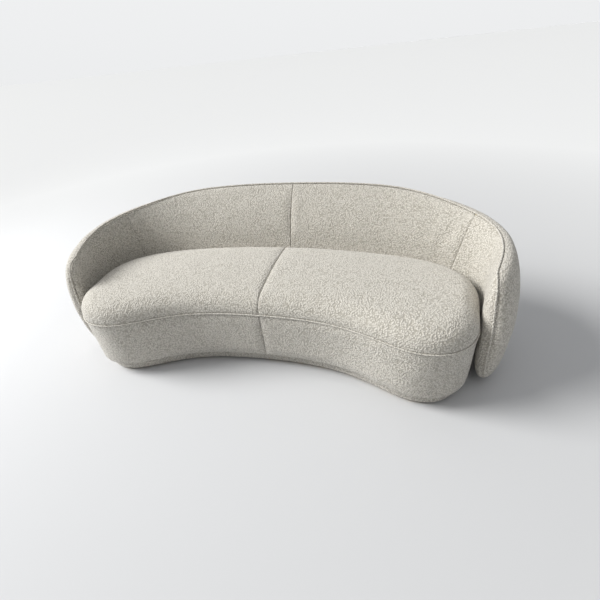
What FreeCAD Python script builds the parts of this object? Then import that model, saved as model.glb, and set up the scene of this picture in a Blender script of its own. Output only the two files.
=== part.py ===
import FreeCAD, Part
import math
import os

# Curved sofa: a bean-shaped seat block on a recessed plinth, inside one wrap-around back and arm shell.
# Millimetres. Seen from the front +X is to the right, the front faces -Y, and +Z is up.
# The origin is on the floor, in the middle of the overall plan. The sofa is symmetric about X = 0.

Vec = FreeCAD.Vector
up = Vec(0, 0, 1)

# ---- driving dimensions of the seat block -------------------------------------------------------
plan_shift_y = 160.5          # moves the finished plan so that its middle is at Y = 0
seat_plan = [                 # right half of the cover's plan, rear centre to front centre
    (0, 110), (320, 98), (640, 60), (860, -5), (985, -120), (1030, -270), (1013, -422),
    (986, -562), (886, -670), (737, -689), (588, -634), (439, -572), (220, -529), (0, -519),
]
plinth_low = 15.0             # plinth's lower edge above the floor
block_low = 65.0              # underside of the seat block
seam_height = 345.0           # raised seam between side band and top cover
seat_top = 449.0              # crown of the seat
crown_plan_radius = 1540.0    # the crown line runs along an arc of this radius in plan
crown_middle = -205.0         # Y of the crown line at the middle of the seat
crown_radius = 1830.0         # the crown's own curvature across the seat
crown_reach = 800.0           # half width of the crown's arc
top_round = 88.0              # rounding of the seat's top edge
plan_points = 56              # points that carry an outline moved in or out
turn_sense = -1               # the outline runs clockwise seen from above

# ---- layers of the seat, outside to inside ------------------------------------------------------
fabric = 3.0
wadding = 13.0
side_foam = 22.0
panel = 3.0                   # thin side panel round the frame
board = 15.0                  # base board
ply = 18.0                    # ribs, seat ring, rails
ring_width = 60.0
ring_top = 290.0
rib_count = 16
rail_places = [-600, -200, 200, 600]
rail_depth = 80.0
strap = 2.0                   # webbing thickness
strap_width = 60.0
strap_pitch = 112.0
strap_count = 17
strap_inset = 52.0
seam_proud = 2.0
seam_width = 5.0

# ---- plinth, feet and fasteners -----------------------------------------------------------------
plinth_inset = 34.0
dust_cloth = 1.0
glide = 4.0
glide_radius = 17.0
foot_radii = (22.0, 30.0)     # toe and top of the turned feet under the seat
low_foot_radii = (17.0, 19.0)
foot_edge = 3.0
foot_places = [(250, -420), (760, -560), (900, -230), (430, -10)]
low_foot_stations = [0.2, 0.84]
low_foot_offset = 7.0
bolt_radius = 4.0
bolt_bite = 26.0              # how far a hanger bolt enters a foot
low_bolt_bite = 14.0
joint_places = [-640, 0, 640]
joint_height = 160.0
joint_block = 80.0            # width and height of the wooden blocks that the joint bolts clamp
joint_block_depth = 70.0
joint_front = -100.0          # the blocks are cut from columns that start here, well inside the seat
joint_behind = 15.0           # the shell's blocks end this far behind the shell's plan path
washer_radius, washer_thick = 12.0, 2.0
head_radius, head_height = 7.0, 6.0
nut_across, nut_height = 13.0, 7.0

# ---- driving dimensions of the back and arm shell -----------------------------------------------
path_rear = 167.0             # Y of the shell's plan path at the middle of the back
path_length = 1606.0          # of one half of the path, from the middle of the back to an arm's tip
back_bend = 0.000249          # curvature of the path along the back, per millimetre
arm_bend = 0.000905           # and along the arm
corner_bend = 0.002842        # added at the corner
corner_at, corner_width = 0.703, 0.162   # where along the path, and over what share of it
arm_bend_rate = 2.5           # how quickly the back's curvature turns into the arm's at the corner
path_steps = 400
shell_low = 17.0              # lowest line of the shell
shell_cut = 32.0              # flat underside
shell_top = 717.0             # ridge height at the middle of the back
ridge_fall, ridge_power = 119.3, 1.526   # fall of the ridge towards the arms, and how late it starts
half_in_mid, half_in_end = 39.0, 73.0
half_out_mid, half_out_end = 80.0, 73.0
section_power = 2.48          # roundness of the shell's section
frame_power = 3.2             # the frame inside is a little squarer
lean_mid, lean_end = 0.422, -0.145
lean_from, lean_span = 291.0, 388.0
lean_fade = (0.31, 1.0)       # along the path, where the lean fades into the upright arm
end_from = 0.825              # where the arm end starts to close
end_height_power, end_width_power = 5.1, 3.18
section_points = 20
sections_open = 24            # control sections from the middle to where the arm end closes
sections_closing = (0.25, 0.5, 0.7, 0.84, 0.93, 0.975, 0.996)
sections_lining = (0.25, 0.5, 0.7, 0.84, 0.93, 0.975, 0.990)
sections_panel = (0.25, 0.5, 0.65, 0.75, 0.8)
sections_frame = (0.2, 0.4, 0.6)
shell_foam = 25.0
shell_panel = 4.0
shell_cloth = 1.0
rail_height = 22.0
top_rail_depth = 75.0         # from the ridge down to the top rail's underside
divider_reach = 1.04          # the face between the inner and outer skins runs past the arms' tips
rib_reach = 240.0             # half length of a rib before it is trimmed to the shell
shell_ribs = [0.08, 0.24, 0.33, 0.5, 0.6, 0.7, 0.8, 0.89]
slant_seam = ((1033, 58, 630), (960, -10, 436))
slant_out = Vec(0.6, 0.8, 0)  # direction out of the shell at the slanted seam
welt_radius = 4.0
welt_clear = 0.5
welt_sides = 8
welt_low = 120.0              # the welt ends at this height on an arm's front edge
welt_level = 0.9              # where the welt's direction is flatter than this, it stands on top of the ridge
welt_facing = 0.5             # and where it comes down an arm it stands on the side that faces forward
far = 2000.0                  # half size of the cutting blocks


def export(shape, node):
    shape.translate(Vec(0, plan_shift_y, 0))
    solids = shape.Solids
    result = solids[0] if len(solids) == 1 else Part.makeCompound(solids)
    result.exportStep("parts/%s.step" % node)
    print(node, len(solids), result.isValid(), round(result.Volume / 1e3, 1))


def export_pair(shape, name, side, other_side):
    export(mirror_image(shape), "%s_%s" % (name, other_side))
    export(shape, "%s_%s" % (name, side))


def block(x0, x1, y0, y1, z0, z1):
    return Part.makeBox(x1 - x0, y1 - y0, z1 - z0, Vec(x0, y0, z0))


def left_half(shape):
    return shape.common(block(-far, 0, -far, far, -far, far))


def right_half(shape):
    return shape.common(block(0, far, -far, far, -far, far))


def below(shape, z):
    return shape.common(block(-far, far, -far, far, -far, z))


def above(shape, z):
    return shape.common(block(-far, far, -far, far, z, far))


def mirror_image(shape):
    return shape.mirror(Vec(0, 0, 0), Vec(1, 0, 0))


def joined(shapes):
    return Part.makeCompound(list(shapes))


# ---- plan outline and seat layers ---------------------------------------------------------------
def mirrored(points):
    full = list(points)
    for x, y in reversed(points):
        if x > 0:
            full.append((-x, y))
    return full


def closed_curve(points):
    curve = Part.BSplineCurve()
    curve.interpolate(Points=points, PeriodicFlag=True)
    return curve


def plan_curve(inset):
    """The seat's plan outline moved inwards by inset, measured square to the outline."""
    curve = closed_curve([Vec(x, y, 0) for x, y in mirrored(seat_plan)])
    if inset == 0:
        return curve
    ring = []
    for i in range(plan_points):
        t = curve.FirstParameter + (curve.LastParameter - curve.FirstParameter) * i / plan_points
        inward = up.cross(curve.tangent(t)[0]) * turn_sense
        ring.append(curve.value(t) + inward * inset)
    return closed_curve(ring)


def prism(inset, low, high):
    face = Part.Face(Part.Wire(plan_curve(inset).toShape()))
    face.translate(Vec(0, 0, low))
    return face.extrude(Vec(0, 0, high - low))


def ring_prism(outer, inner, low, high):
    return prism(outer, low, high).cut(prism(inner, low - 1, high + 1))


def crown_body(inset):
    """Everything under the seat's crown: an arc swept about the middle of the crown line's plan."""
    centre = Vec(0, crown_middle - crown_plan_radius, 0)
    top = seat_top - inset
    side = top - crown_radius + math.sqrt(crown_radius ** 2 - crown_reach ** 2)
    near = centre.y + crown_plan_radius - crown_reach
    distant = centre.y + crown_plan_radius + crown_reach
    arc = Part.Arc(Vec(0, near, side), Vec(0, crown_middle, top), Vec(0, distant, side)).toShape()
    corners = [Vec(0, distant, side), Vec(0, distant, 0), Vec(0, near, 0), Vec(0, near, side)]
    edges = [arc] + [Part.makeLine(a, b) for a, b in zip(corners, corners[1:])]
    return Part.Face(Part.Wire(edges)).revolve(centre, up, 360)


def seat_block(inset):
    """The whole seat block moved in by inset, crowned on top and rounded along its top edge."""
    body = prism(inset, block_low, seat_top + fabric).common(crown_body(inset))
    tops = [e for e in body.Edges if e.BoundBox.ZMin > seam_height and e.BoundBox.XLength > ring_width]
    return body.makeFillet(top_round - inset, tops)


def seat_cap(inset):
    return above(seat_block(inset), seam_height)


def make_seat_covers(joint_holes):
    top = seat_cap(0).cut(seat_cap(fabric))
    export_pair(left_half(top), "seat_top_cover", "left", "right")
    band = ring_prism(0, fabric, block_low, seam_height).cut(joint_holes)
    export_pair(left_half(band), "seat_side_band", "left", "right")
    low = seam_height - seam_width / 2
    export(ring_prism(-seam_proud, 0, low, low + seam_width), "seat_raised_seam")


def make_seat_filling(joint_holes):
    inner = fabric + wadding
    export(seat_cap(fabric).cut(seat_cap(inner)), "seat_top_wadding")
    side = ring_prism(fabric, inner, block_low, seam_height)
    export(side.cut(joint_holes), "seat_side_wadding")
    export(above(seat_block(inner), ring_top + strap), "seat_foam_block")
    foam = ring_prism(inner, inner + side_foam, block_low, ring_top + strap)
    export(foam.cut(joint_holes), "seat_side_foam")


def make_seat_frame(joint_holes, seat_blocks, foot_bolts):
    edge = fabric + wadding + side_foam
    inside = edge + panel
    low = block_low + board
    high = ring_top - ply
    export(ring_prism(edge, inside, low, ring_top).cut(joint_holes), "seat_side_panel")
    export(prism(edge, block_low, low).cut(foot_bolts), "seat_base_board")
    export(ring_prism(inside, inside + ring_width, high, ring_top), "seat_ring")
    curve = plan_curve(inside + ring_width / 2)
    ribs = []
    for i in range(rib_count):
        t = curve.FirstParameter + (curve.LastParameter - curve.FirstParameter) * (i + 0.5) / rib_count
        along = curve.tangent(t)[0]
        rib = block(-ply / 2, ply / 2, -ring_width, ring_width, low, high)
        rib.rotate(Vec(0, 0, 0), up, math.degrees(math.atan2(along.y, along.x)))
        rib.translate(curve.value(t))
        ribs.append(rib)
    ribs = joined(ribs).common(ring_prism(inside, inside + ring_width, low, high))
    export(ribs.cut(seat_blocks), "seat_frame_ribs")
    rails = [block(x - ply / 2, x + ply / 2, -far, far, ring_top - rail_depth, ring_top) for x in rail_places]
    export(joined(rails).common(prism(inside + ring_width, 0, seat_top)), "seat_cross_rails")
    first = -strap_pitch * (strap_count - 1) / 2
    straps = []
    for i in range(strap_count):
        x = first + strap_pitch * i
        straps.append(block(x - strap_width / 2, x + strap_width / 2, -far, far, ring_top, ring_top + strap))
    export(joined(straps).common(prism(strap_inset, 0, seat_top)), "seat_webbing")


# ---- plinth and feet ----------------------------------------------------------------------------
def turned_foot(place, radii, low, high):
    toe, top = radii
    points = [(0, low), (toe - foot_edge, low), (toe, low + foot_edge), (top, high - foot_edge),
              (top, high), (0, high), (0, low)]
    foot = Part.Face(Part.makePolygon([Vec(x, 0, z) for x, z in points])).revolve(Vec(0, 0, 0), up, 360)
    foot.translate(place)
    return foot


def post(place, radius, low, high):
    return Part.makeCylinder(radius, high - low, place + up * low)


def seat_foot_places():
    return [Vec(side * x, y, 0) for x, y in foot_places for side in (-1, 1)]


def low_foot_places():
    places = []
    for u in low_foot_stations:
        for side in (-1, 1):
            place, out = path_frame(side * u)
            places.append(place + out * low_foot_offset)
    return places


def make_plinth_and_feet(foot_bolts, low_bolts):
    lining = plinth_inset + fabric
    cover = ring_prism(plinth_inset, lining, plinth_low, block_low)
    export_pair(left_half(cover), "plinth_cover", "left", "right")
    export(ring_prism(lining, lining + ply, plinth_low, block_low), "plinth_ring")
    feet = joined(turned_foot(p, foot_radii, glide, block_low) for p in seat_foot_places())
    cloth = prism(lining + ply, block_low - dust_cloth, block_low)
    export(cloth.cut(feet), "seat_dust_cloth")
    export(feet.cut(foot_bolts), "wooden_feet")
    low_feet = joined(turned_foot(p, low_foot_radii, glide, shell_cut) for p in low_foot_places())
    export(low_feet.cut(low_bolts), "back_wooden_feet")
    export(foot_bolts, "foot_hanger_bolts")
    export(low_bolts, "back_foot_bolts")
    every = seat_foot_places() + low_foot_places()
    export(joined(post(p, glide_radius, 0, glide) for p in every), "felt_glides")
    return low_feet


# ---- back and arm shell -------------------------------------------------------------------------
def bend_at(u):
    x = (u - corner_at) / corner_width
    arm = (arm_bend - back_bend) / (1 + math.exp(-arm_bend_rate * x))
    return back_bend + arm + corner_bend * math.exp(-x * x)


def walk_path():
    """Places and headings along the right half of the shell's path, which bends most at the corner."""
    step = path_length / path_steps
    place, heading = Vec(0, path_rear, 0), 0.0
    stations = [(place, heading)]
    for i in range(path_steps):
        middle = heading + bend_at((i + 0.25) / path_steps) * step / 2
        place = place + Vec(math.cos(middle), -math.sin(middle), 0) * step
        heading = heading + bend_at((i + 0.5) / path_steps) * step
        stations.append((place, heading))
    return stations


path_stations = walk_path()


def path_frame(u):
    """Point of the shell's plan path and the direction out of the sofa there, u from -1 to 1 or just past."""
    side = abs(u)
    exact = min(side, 1) * path_steps
    i = min(int(exact), path_steps - 1)
    (start, first), (end, last) = path_stations[i], path_stations[i + 1]
    place = start + (end - start) * (exact - i)
    heading = first + (last - first) * (exact - i)
    along = Vec(math.cos(heading), -math.sin(heading), 0)
    place = place + along * max(side - 1, 0) * path_length
    out = Vec(math.sin(heading), math.cos(heading), 0)
    if u < 0:
        return Vec(-place.x, place.y, 0), Vec(-out.x, out.y, 0)
    return place, out


def ridge_height(u):
    return shell_top - ridge_fall * (1 - math.cos(math.pi * u ** ridge_power)) / 2


def lean_at(u, z):
    """How far the shell leans out at height z."""
    start, end = lean_fade
    q = min(max((u - start) / (end - start), 0), 1)
    q = q * q * (3 - 2 * q)
    rise = max(z - lean_from, 0)
    return (lean_mid + (lean_end - lean_mid) * q) * rise * math.sqrt(rise / lean_span)


def rounded(value, power):
    return math.copysign(abs(value) ** (2 / power), value)


def closing_factors(side):
    closing = min(max((side - end_from) / (1 - end_from), 0), 1)
    tall = (1 - closing ** end_height_power) ** (1 / end_height_power)
    wide = (1 - closing ** end_width_power) ** (1 / end_width_power)
    return tall, wide


def section(u, inset, power):
    """Control points of the shell's closed oval section at u, moved in by inset on its sides and top."""
    side = abs(u)
    place, out = path_frame(u)
    tall, wide = closing_factors(side)
    top = ridge_height(side)
    half = (top - shell_low) / 2 * tall - inset / 2
    middle = (top + shell_low) / 2 - inset / 2
    inner = (half_in_mid + (half_in_end - half_in_mid) * side) * wide - inset
    outer = (half_out_mid + (half_out_end - half_out_mid) * side) * wide - inset
    ring = []
    for i in range(section_points):
        v = 2 * math.pi * i / section_points
        across = rounded(math.cos(v), power)
        z = middle + half * rounded(math.sin(v), power)
        n = (outer if across > 0 else inner) * across + lean_at(side, z)
        ring.append(place + out * n + up * z)
    return ring


def shell_body(inset, power, closing):
    """The whole shell moved in by inset; closing says how near its sections come to the arm's tip."""
    half = [end_from * i / sections_open for i in range(sections_open + 1)]
    half += [end_from + (1 - end_from) * t for t in closing]
    rows = [section(u, inset, power) for u in [-u for u in reversed(half[1:])] + half]
    return above(tube_of(rows), shell_cut)


def middle_face():
    """Face through the ridge and the middle of the shell, reaching past it on every side."""
    half = [divider_reach * i / sections_open for i in range(sections_open + 1)]
    rows = []
    for u in [-u for u in reversed(half[1:])] + half:
        place, out = path_frame(u)
        top = ridge_height(min(abs(u), 1))
        heights = [0, lean_from / 2, lean_from, lean_from + (top - lean_from) / 2, top, top + ring_width]
        rows.append([place + out * lean_at(abs(u), z) + up * z for z in heights])
    wide, tall = len(rows) - 3, len(rows[0]) - 3
    surface = Part.BSplineSurface()
    surface.buildFromPolesMultsKnots(
        rows, [4] + [1] * (wide - 1) + [4], [4] + [1] * (tall - 1) + [4],
        list(range(wide + 1)), list(range(tall + 1)), False, False, 3, 3)
    return surface.toShape()


def inside_and_outside(shape, divider):
    """The part of a shell layer on the sitter's side of the middle face, and the part behind it."""
    pieces = shape.generalFuse([divider])[0].Solids
    pieces.sort(key=lambda piece: piece.BoundBox.XLength)
    return pieces[:-1], pieces[-1]


def arm_block():
    """Everything in front of the slanted seam on the right."""
    a, b = [Vec(x, y, z) for x, y, z in slant_seam]
    along = (a - b).normalize()
    signs = ((1, 1), (1, -1), (-1, -1), (-1, 1))
    corners = [a + along * i * far / 2 + slant_out * j * far / 4 for i, j in signs]
    front = along.cross(slant_out)
    if front.y > 0:
        front = front * -1
    return Part.Face(Part.makePolygon(corners + corners[:1])).extrude(front * far)


def ridge_half():
    """The ridge from the middle of the back to the right arm, over its tip and down its front edge."""
    half = [end_from * i / sections_open for i in range(sections_open + 1)]
    closing = [end_from + (1 - end_from) * t for t in sections_closing]
    points = []
    for sign, stations in ((1, half + closing), (-1, closing[::-1])):
        for u in stations:
            place, out = path_frame(u)
            top = ridge_height(u)
            z = (top + shell_low) / 2 + sign * (top - shell_low) / 2 * closing_factors(u)[0]
            if z > welt_low:
                points.append((place + out * lean_at(u, z) + up * z, out))
    return points


def make_welt(whole):
    half = ridge_half()
    points = [(Vec(-p.x, p.y, p.z), Vec(-out.x, out.y, 0)) for p, out in reversed(half[1:])] + half
    rows = []
    for i, (point, out) in enumerate(points):
        before, after = points[max(i - 1, 0)][0], points[min(i + 1, len(points) - 1)][0]
        along = (after - before).normalize()
        lift = out.cross(along).normalize()
        if lift.z < 0 and abs(along.z) < welt_level:
            lift = lift * -1
        if lift.y > welt_facing:
            lift = lift * -1
        centre = point + lift * (welt_radius + welt_clear)
        across = along.cross(lift).normalize()
        row = []
        for k in range(welt_sides):
            v = 2 * math.pi * k / welt_sides
            row.append(centre + (lift * math.sin(v) + across * math.cos(v)) * welt_radius)
        rows.append(row)
    export(tube_of(rows).cut(whole), "back_welt")


def tube_of(rows):
    """Closed solid whose side follows rows of control points, each row once round, with flat ends."""
    spans, around = len(rows) - 3, len(rows[0])
    surface = Part.BSplineSurface()
    surface.buildFromPolesMultsKnots(
        rows, [4] + [1] * (spans - 1) + [4], [1] * (around + 1),
        list(range(spans + 1)), list(range(around + 1)), False, True, 3, 3)
    ends = [Part.Face(Part.Wire(surface.uIso(t).toShape())) for t in (0, spans)]
    body = Part.Solid(Part.Shell([surface.toShape()] + ends))
    if body.Volume < 0:
        body.reverse()
    return body


def make_shell_layers(joint_holes, low_feet):
    panel_inset = fabric + shell_foam
    whole = shell_body(0, section_power, sections_closing)
    lining = shell_body(fabric, section_power, sections_lining)
    panelled = shell_body(panel_inset, frame_power, sections_panel)
    core = shell_body(panel_inset + shell_panel, frame_power, sections_frame)
    divider = middle_face()
    inner, outer = inside_and_outside(whole.cut(lining), divider)
    inner = joined(inner).cut(joint_holes)
    export_pair(right_half(outer), "back_outer_cover", "right", "left")
    arm = arm_block()
    export_pair(inner.common(arm), "arm_cover", "right", "left")
    export_pair(right_half(inner.cut(arm)), "back_inner_cover", "right", "left")
    inner, outer = inside_and_outside(lining.cut(panelled), divider)
    export(joined(inner).cut(joint_holes), "back_inner_foam")
    export(outer, "back_outer_foam")
    inner, outer = inside_and_outside(panelled.cut(core), divider)
    export(joined(inner).cut(joint_holes), "back_inner_panel")
    export(outer, "back_outer_panel")
    bottom = [face for face in whole.Faces if face.BoundBox.ZMax < shell_cut + 1][0]
    export(bottom.extrude(up * -shell_cloth).cut(low_feet), "back_dust_cloth")
    make_welt(whole)
    return core


def ridge_band():
    """Straight-sided sleeve over the ridge that takes in the shell's top rail."""
    wires = []
    for i in range(-sections_open, sections_open + 1):
        u = i / sections_open
        place, out = path_frame(u)
        top = ridge_height(abs(u))
        middle = place + out * lean_at(abs(u), top)
        corners = [(-1, -top_rail_depth), (1, -top_rail_depth), (1, ring_width), (-1, ring_width)]
        points = [middle + out * side * 2 * ring_width + up * (top + z) for side, z in corners]
        wires.append(Part.makePolygon(points + points[:1]))
    return Part.makeLoft(wires, True, True)


def make_shell_frame(core, shell_blocks, low_bolts):
    rail_top = shell_cut + rail_height
    export(below(core, rail_top).cut(low_bolts), "back_bottom_rail")
    band = ridge_band()
    export(core.common(band), "back_top_rail")
    ribs = []
    for u in shell_ribs:
        for side in (-1, 1):
            place, out = path_frame(side * u)
            rib = block(-ply / 2, ply / 2, -rib_reach, rib_reach, rail_top, shell_top)
            rib.rotate(Vec(0, 0, 0), up, math.degrees(math.atan2(out.y, out.x)) - 90)
            rib.translate(place)
            ribs.append(rib.common(core).cut(band))
    export(joined(ribs), "back_uprights")
    export(shell_blocks, "back_joint_blocks")


# ---- bolts between the seat block and the shell -------------------------------------------------
def bolt_line(x, y0, y1, radius):
    return Part.makeCylinder(radius, y1 - y0, Vec(x, y0, joint_height), Vec(0, 1, 0))


def joint_columns():
    """For each joint bolt: its X, and the Y of its seat block's front and of its shell block's back."""
    edge = fabric + wadding + side_foam + panel
    columns = []
    for x in joint_places:
        reach = [joint_block / 2 * k for k in (-1, 1)]
        low, high = [joint_height + r for r in reach]
        slab = block(x + reach[0], x + reach[1], joint_front, far, low, high)
        seat_piece = prism(edge, 0, seat_top).common(slab)
        front = seat_piece.BoundBox.YMax - joint_block_depth
        nearest = min((place for place, _ in path_stations), key=lambda place: abs(place.x - abs(x)))
        columns.append((x, slab, front, nearest.y + joint_behind))
    return columns


def make_joint_hardware(columns):
    bolts, washers, nuts = [], [], []
    for x, _, front, back in columns:
        head_end = front - washer_thick
        nut_start = back + washer_thick
        shank = bolt_line(x, head_end, nut_start + nut_height, bolt_radius)
        bolts.append(shank.fuse(bolt_line(x, head_end - head_height, head_end, head_radius)))
        for start in (head_end, back):
            washers.append(bolt_line(x, start, start + washer_thick, washer_radius).cut(shank))
        hexagon = []
        for k in range(7):
            v = math.radians(60 * k)
            reach = nut_across / math.sqrt(3)
            hexagon.append(Vec(x + reach * math.cos(v), nut_start, joint_height + reach * math.sin(v)))
        nut = Part.Face(Part.makePolygon(hexagon)).extrude(Vec(0, nut_height, 0))
        nuts.append(nut.cut(shank))
    export(joined(bolts), "joint_bolts")
    export(joined(washers), "joint_washers")
    export(joined(nuts), "joint_nuts")


def main():
    os.makedirs("parts", exist_ok=True)
    columns = joint_columns()
    bolts = joined(bolt_line(x, front - ring_width, back + ring_width, bolt_radius)
                   for x, _, front, back in columns)
    foot_bolts = joined(post(p, bolt_radius, block_low - bolt_bite, block_low + board)
                        for p in seat_foot_places())
    low_bolts = joined(post(p, bolt_radius / 2, shell_cut - low_bolt_bite, shell_cut + rail_height / 2)
                       for p in low_foot_places())
    edge = fabric + wadding + side_foam + panel
    seat_solid = prism(edge, 0, seat_top)
    seat_blocks = joined(seat_solid.common(slab).common(block(-far, far, front, far, 0, far))
                         for x, slab, front, back in columns).cut(bolts)
    make_seat_covers(bolts)
    make_seat_filling(bolts)
    make_seat_frame(bolts, seat_blocks, foot_bolts)
    export(seat_blocks, "seat_joint_blocks")
    low_feet = make_plinth_and_feet(foot_bolts, low_bolts)
    core = make_shell_layers(bolts, low_feet)
    shell_blocks = joined(core.common(slab).common(block(-far, far, -far, back, 0, far))
                          for x, slab, front, back in columns).cut(bolts)
    make_shell_frame(core, shell_blocks, low_bolts)
    make_joint_hardware(columns)


main()
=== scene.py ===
import bpy
import math
import numpy as np
from mathutils import Matrix, Vector


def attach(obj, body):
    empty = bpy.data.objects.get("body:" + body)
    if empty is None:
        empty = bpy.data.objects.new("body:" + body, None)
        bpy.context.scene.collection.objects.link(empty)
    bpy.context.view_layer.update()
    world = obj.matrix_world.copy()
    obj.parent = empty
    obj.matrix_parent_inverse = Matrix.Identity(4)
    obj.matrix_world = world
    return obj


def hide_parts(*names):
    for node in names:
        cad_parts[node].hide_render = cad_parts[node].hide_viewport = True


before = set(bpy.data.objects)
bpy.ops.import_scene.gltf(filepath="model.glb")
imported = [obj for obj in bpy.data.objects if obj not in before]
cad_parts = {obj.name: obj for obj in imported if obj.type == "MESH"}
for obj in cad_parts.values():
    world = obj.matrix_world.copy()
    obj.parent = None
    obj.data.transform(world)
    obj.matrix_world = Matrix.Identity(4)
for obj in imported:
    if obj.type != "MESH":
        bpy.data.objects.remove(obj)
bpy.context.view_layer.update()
mm = 0.001
shiftY = 160.5                      # the plans are drawn about the seat's own zero, then moved back by this
clothThickness = 2.4
farFromSeam = 400.0                 # stands for a seam too far off to matter

# Curved sofa in looped cloth: a bean shaped seat on a low plinth inside one wrap-around back.
# Shapes are worked out in millimetres and turned into metres when their mesh is made.


# Small helpers.
def linear(hexColour):              # sRGB hex to the linear colour that shaders work in
    parts = [int(hexColour[i:i + 2], 16) / 255 for i in (1, 3, 5)]
    return [c / 12.92 if c <= 0.04045 else ((c + 0.055) / 1.055) ** 2.4 for c in parts] + [1.0]


def ease(value, start, end):        # 0 before start, 1 after end, smooth between
    q = np.clip((value - start) / (end - start), 0, 1)
    return q * q * (3 - 2 * q)


def dip(distance, width):           # 1 on a seam, fading over width
    return np.exp(-(distance / width) ** 2)


def groove(distance, size):         # how far a seam of this depth and width pulls the cloth in
    depth, width = size
    return depth * dip(distance, width)


def lump(points, size):             # smooth random swell from -1 to 1, one bump every size millimetres
    cell = points / size
    base = np.floor(cell).astype(np.int64)
    part = cell - base
    part = part * part * (3 - 2 * part)
    total = np.zeros(points.shape[:-1])
    for corner in np.ndindex(2, 2, 2):
        spot = base + np.array(corner)
        key = (spot[..., 0] * 73856093) ^ (spot[..., 1] * 19349663) ^ (spot[..., 2] * 83492791)
        value = ((key * 2654435761) & 0xffffff) / 0x7fffff - 1
        weight = np.prod(np.where(np.array(corner) == 1, part, 1 - part), axis=-1)
        total += value * weight
    return total


def spaced(length, step):           # places from 0 to length, closer together beside the seams at both ends
    near = np.array([0, 1.2, 2.6, 4.2, 6.4, 9.4, 13.0, 18.0])
    middle = length - 2 * near[-1]
    count = max(int(middle / step), 1)
    body = near[-1] + middle * np.arange(1, count) / count
    return np.concatenate([near, body, length - near[::-1]])


def gridNormals(grid):              # normals of a grid of points, rows by columns
    along = np.gradient(grid, axis=1)
    upward = np.gradient(grid, axis=0)
    normal = np.cross(along, upward)
    size = np.linalg.norm(normal, axis=-1, keepdims=True)
    return normal / np.maximum(size, 1e-9)


def gridMesh(name, grid, ids=None, flip=False):
    rows, columns = grid.shape[:2]
    if ids is None:
        ids = np.arange(rows * columns).reshape(rows, columns)
    corners = [ids[:-1, :-1], ids[:-1, 1:], ids[1:, 1:], ids[1:, :-1]]
    faces = np.stack([c.ravel() for c in corners], axis=1)
    if flip:
        faces = faces[:, ::-1]
    used, where = np.unique(faces, return_inverse=True)
    points = np.zeros((rows * columns, 3))
    points[ids.ravel()[::-1]] = grid.reshape(-1, 3)[::-1]
    mesh = bpy.data.meshes.new(name)
    mesh.from_pydata((points[used] * mm).tolist(), [], where.reshape(faces.shape).tolist())
    mesh.validate()
    piece = bpy.data.objects.new(name, mesh)
    bpy.context.scene.collection.objects.link(piece)
    mesh.polygons.foreach_set("use_smooth", [True] * len(mesh.polygons))
    return piece, used


def thicken(piece, thickness):      # gives a cover its cloth's thickness, inwards
    solid = piece.modifiers.new("cloth thickness", "SOLIDIFY")
    solid.thickness = thickness * mm
    solid.offset = -1
    bpy.context.view_layer.update()
    solidMesh = bpy.data.meshes.new_from_object(piece.evaluated_get(bpy.context.evaluated_depsgraph_get()))
    piece.modifiers.clear()
    old = piece.data
    piece.data = solidMesh
    solidMesh.name = old.name + " thick"
    bpy.data.meshes.remove(old)


def onto(values, oldPlaces, newPlaces):     # smooth interpolation of rows of values to new places
    slope = np.gradient(values, oldPlaces, axis=0)
    k = np.clip(np.searchsorted(oldPlaces, newPlaces, side="right") - 1, 0, len(oldPlaces) - 2)
    span = (oldPlaces[k + 1] - oldPlaces[k])
    t = ((newPlaces - oldPlaces[k]) / span)
    shape = (len(k),) + (1,) * (values.ndim - 1)
    t, span = t.reshape(shape), span.reshape(shape)
    first, last = values[k], values[k + 1]
    return ((2 * t ** 3 - 3 * t ** 2 + 1) * first + (t ** 3 - 2 * t ** 2 + t) * span * slope[k]
            + (3 * t ** 2 - 2 * t ** 3) * last + (t ** 3 - t ** 2) * span * slope[k + 1])


# A pressure cloth simulation swells the covers between their seams, up to the cap. It moves the seat band,
# the seat top and the inner back. The arm and outer back grids come back unmoved and keep their drawn shape.
stuffing = {"pressure": 4.0, "frames": 20, "spacing": 34.0, "cap": 8.0, "pinch": 3.0}


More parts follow.
